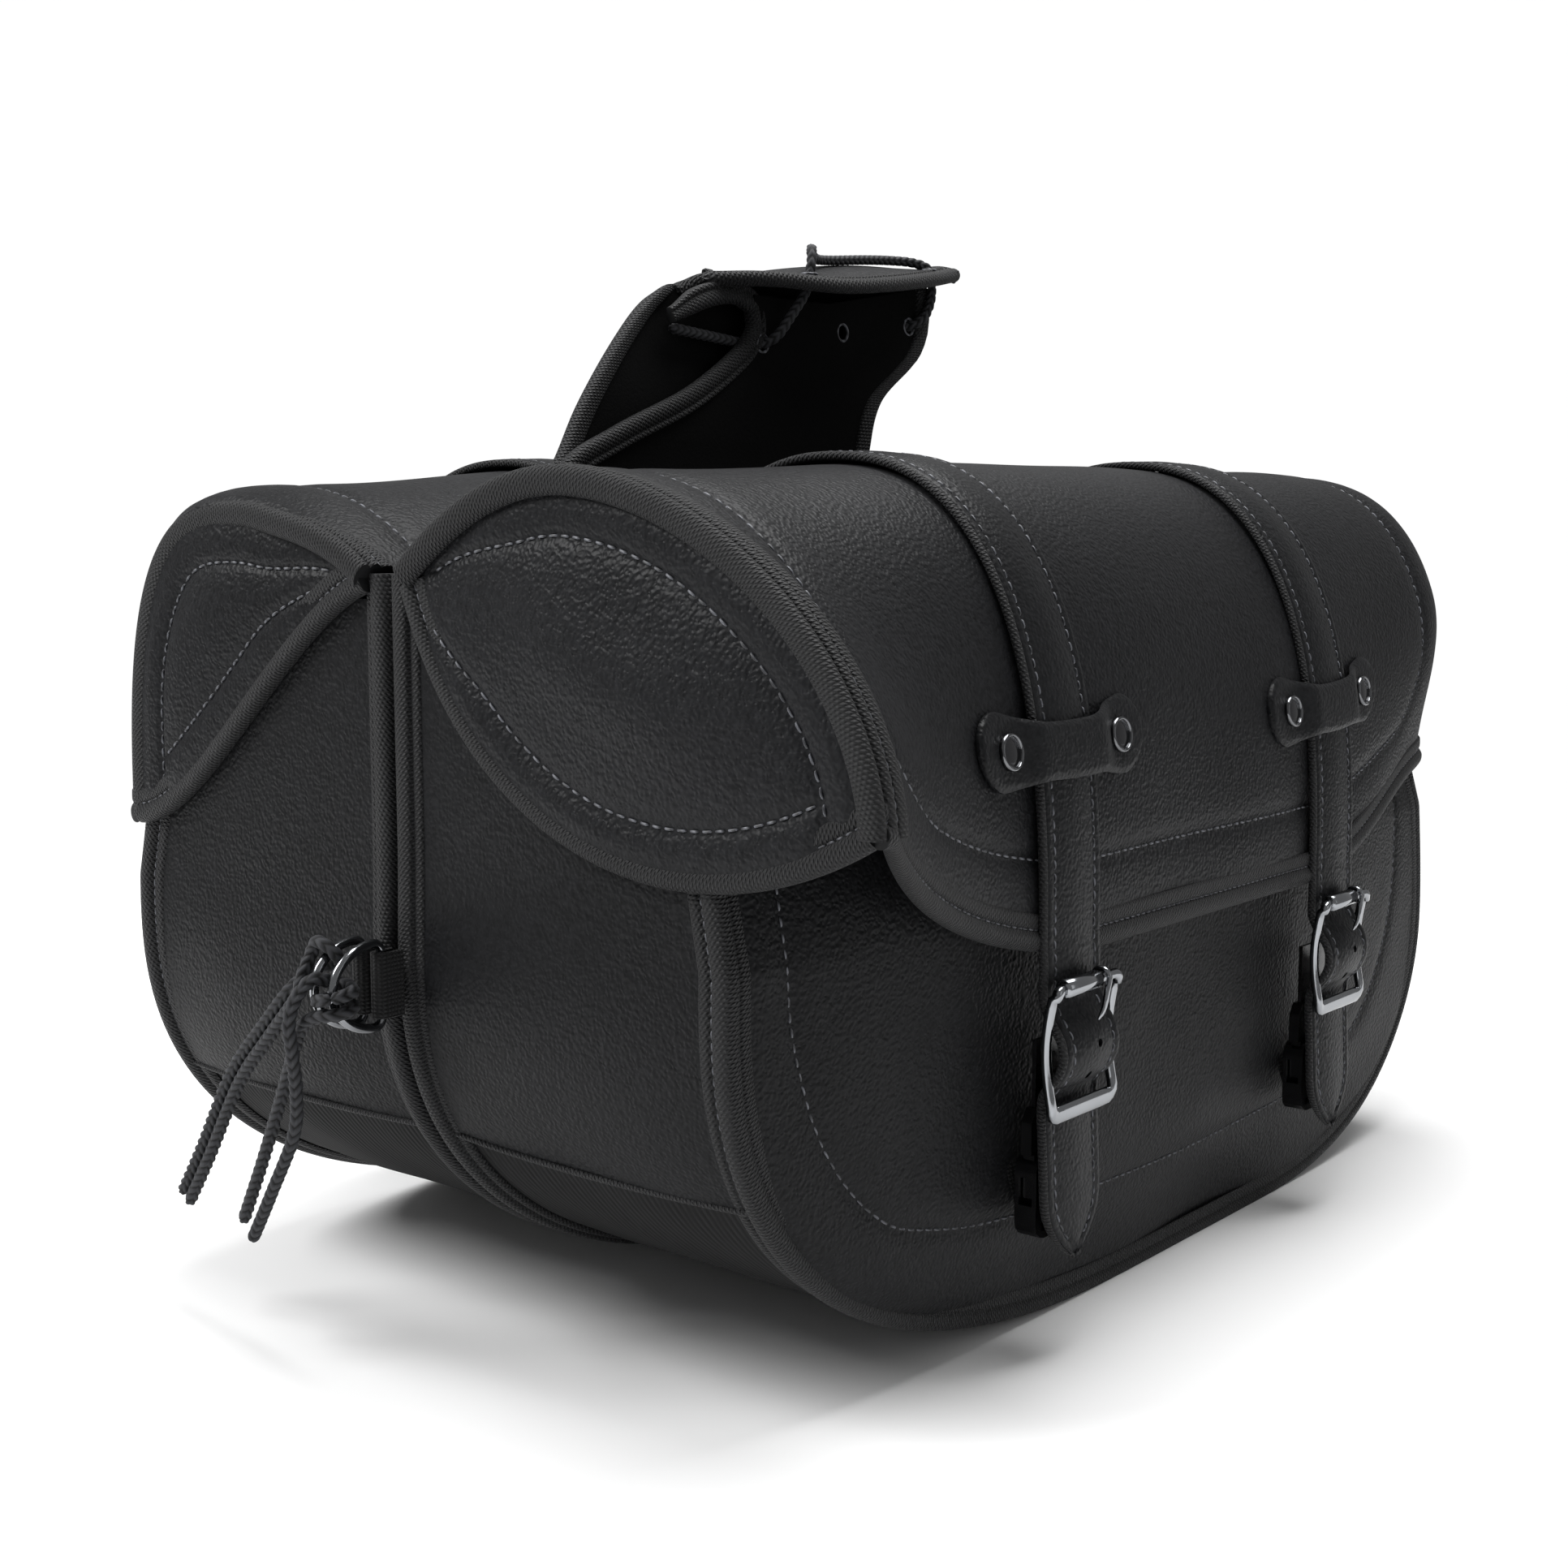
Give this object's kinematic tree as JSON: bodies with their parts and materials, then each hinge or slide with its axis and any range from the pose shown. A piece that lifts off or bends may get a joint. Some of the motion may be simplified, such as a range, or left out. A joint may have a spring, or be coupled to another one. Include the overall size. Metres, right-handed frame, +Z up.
{
  "type": "motorcycle saddlebag pair",
  "caption": "Pair of black leather throw-over motorcycle saddlebags with domed buckled lids, quick-release clips and a laced yoke.",
  "frame": {"origin": "on the floor, midway between the two bags and midway along them", "axes": "+Z up; +X across the bike towards the right bag; +Y along the bags from the end with the D-rings to the other end"},
  "size_m": [0.3631, 0.5042, 0.3715],
  "materials": {
    "leather": "fine grain, soft sheen",
    "lining": "matt",
    "webbing": "woven",
    "cord": "braided",
    "plastic": "gloss",
    "chrome": "polished"
  },
  "bodies": {
    "bags": {"back_panel_right": "leather", "front_panel_right": "leather", "gusset_right": "lining", "base_board_right": "lining", "ring_loop_right": "webbing", "clip_socket_front_right": "plastic", "clip_socket_rear_right": "plastic", "back_panel_left": "leather", "front_panel_left": "leather", "gusset_left": "lining", "base_board_left": "lining", "ring_loop_left": "webbing", "clip_socket_front_left": "plastic", "clip_socket_rear_left": "plastic", "yoke_panel_left": "leather", "yoke_panel_right": "leather", "yoke_lace": "cord"},
    "lid_right": {"lid_shell_right": "leather", "lid_cap_front_right": "leather", "lid_cap_rear_right": "leather", "strap_upper_front_right": "leather", "keeper_front_right": "leather", "rivet_a_front_right": "chrome", "rivet_b_front_right": "chrome", "strap_upper_rear_right": "leather", "keeper_rear_right": "leather", "rivet_a_rear_right": "chrome", "rivet_b_rear_right": "chrome"},
    "strap_tail_front_right_body": {"strap_tail_front_right": "leather", "buckle_frame_front_right": "chrome"},
    "buckle_prong_front_right_body": {"buckle_prong_front_right": "chrome"},
    "clip_plug_front_right_body": {"clip_plug_front_right": "plastic"},
    "strap_tail_rear_right_body": {"strap_tail_rear_right": "leather", "buckle_frame_rear_right": "chrome"},
    "buckle_prong_rear_right_body": {"buckle_prong_rear_right": "chrome"},
    "clip_plug_rear_right_body": {"clip_plug_rear_right": "plastic"},
    "ring_right_body": {"d_ring_right": "chrome", "tie_cord_right": "cord"},
    "lid_left": {"lid_shell_left": "leather", "lid_cap_front_left": "leather", "lid_cap_rear_left": "leather", "strap_upper_front_left": "leather", "keeper_front_left": "leather", "rivet_a_front_left": "chrome", "rivet_b_front_left": "chrome", "strap_upper_rear_left": "leather", "keeper_rear_left": "leather", "rivet_a_rear_left": "chrome", "rivet_b_rear_left": "chrome"},
    "strap_tail_front_left_body": {"strap_tail_front_left": "leather", "buckle_frame_front_left": "chrome"},
    "buckle_prong_front_left_body": {"buckle_prong_front_left": "chrome"},
    "clip_plug_front_left_body": {"clip_plug_front_left": "plastic"},
    "strap_tail_rear_left_body": {"strap_tail_rear_left": "leather", "buckle_frame_rear_left": "chrome"},
    "buckle_prong_rear_left_body": {"buckle_prong_rear_left": "chrome"},
    "clip_plug_rear_left_body": {"clip_plug_rear_left": "plastic"},
    "ring_left_body": {"d_ring_left": "chrome", "tie_cord_left": "cord"}
  },
  "joints": [
    {"name": "lid_hinge_right", "type": "hinge", "parent": "bags", "child": "lid_right", "pos_m": [0.008, 0, 0.25], "axis": [0, -1, 0], "range_deg": [0, 48]},
    {"name": "strap_swing_front_right", "type": "hinge", "parent": "lid_right", "child": "strap_tail_front_right_body", "pos_m": [0.16355, -0.094, 0.13165], "axis": [0, -1, 0], "range_deg": [0, 60]},
    {"name": "prong_turn_front_right", "type": "hinge", "parent": "strap_tail_front_right_body", "child": "buckle_prong_front_right_body", "pos_m": [0.1682, -0.086, 0.1226], "axis": [0, -1, 0], "range_deg": [0, 90]},
    {"name": "clip_pull_front_right", "type": "slide", "parent": "bags", "child": "clip_plug_front_right_body", "axis": [0, 0, 1], "range_m": [0, 0.018]},
    {"name": "strap_swing_rear_right", "type": "hinge", "parent": "lid_right", "child": "strap_tail_rear_right_body", "pos_m": [0.16355, 0.094, 0.13165], "axis": [0, -1, 0], "range_deg": [0, 60]},
    {"name": "prong_turn_rear_right", "type": "hinge", "parent": "strap_tail_rear_right_body", "child": "buckle_prong_rear_right_body", "pos_m": [0.1682, 0.102, 0.1226], "axis": [0, -1, 0], "range_deg": [0, 90]},
    {"name": "clip_pull_rear_right", "type": "slide", "parent": "bags", "child": "clip_plug_rear_right_body", "axis": [0, 0, 1], "range_m": [0, 0.018]},
    {"name": "ring_swing_right", "type": "hinge", "parent": "bags", "child": "ring_right_body", "pos_m": [0.0044, -0.2413, 0.124], "axis": [0, 0, 1], "range_deg": [0, 75]},
    {"name": "lid_hinge_left", "type": "hinge", "parent": "bags", "child": "lid_left", "pos_m": [-0.008, 0, 0.25], "axis": [0, 1, 0], "range_deg": [0, 48]},
    {"name": "strap_swing_front_left", "type": "hinge", "parent": "lid_left", "child": "strap_tail_front_left_body", "pos_m": [-0.16355, -0.094, 0.13165], "axis": [0, 1, 0], "range_deg": [0, 60]},
    {"name": "prong_turn_front_left", "type": "hinge", "parent": "strap_tail_front_left_body", "child": "buckle_prong_front_left_body", "pos_m": [-0.1682, -0.086, 0.1226], "axis": [0, 1, 0], "range_deg": [0, 90]},
    {"name": "clip_pull_front_left", "type": "slide", "parent": "bags", "child": "clip_plug_front_left_body", "axis": [0, 0, 1], "range_m": [0, 0.018]},
    {"name": "strap_swing_rear_left", "type": "hinge", "parent": "lid_left", "child": "strap_tail_rear_left_body", "pos_m": [-0.16355, 0.094, 0.13165], "axis": [0, 1, 0], "range_deg": [0, 60]},
    {"name": "prong_turn_rear_left", "type": "hinge", "parent": "strap_tail_rear_left_body", "child": "buckle_prong_rear_left_body", "pos_m": [-0.1682, 0.102, 0.1226], "axis": [0, 1, 0], "range_deg": [0, 90]},
    {"name": "clip_pull_rear_left", "type": "slide", "parent": "bags", "child": "clip_plug_rear_left_body", "axis": [0, 0, 1], "range_m": [0, 0.018]},
    {"name": "ring_swing_left", "type": "hinge", "parent": "bags", "child": "ring_left_body", "pos_m": [-0.0044, -0.2413, 0.124], "axis": [0, 0, -1], "range_deg": [0, 28]}
  ]
}
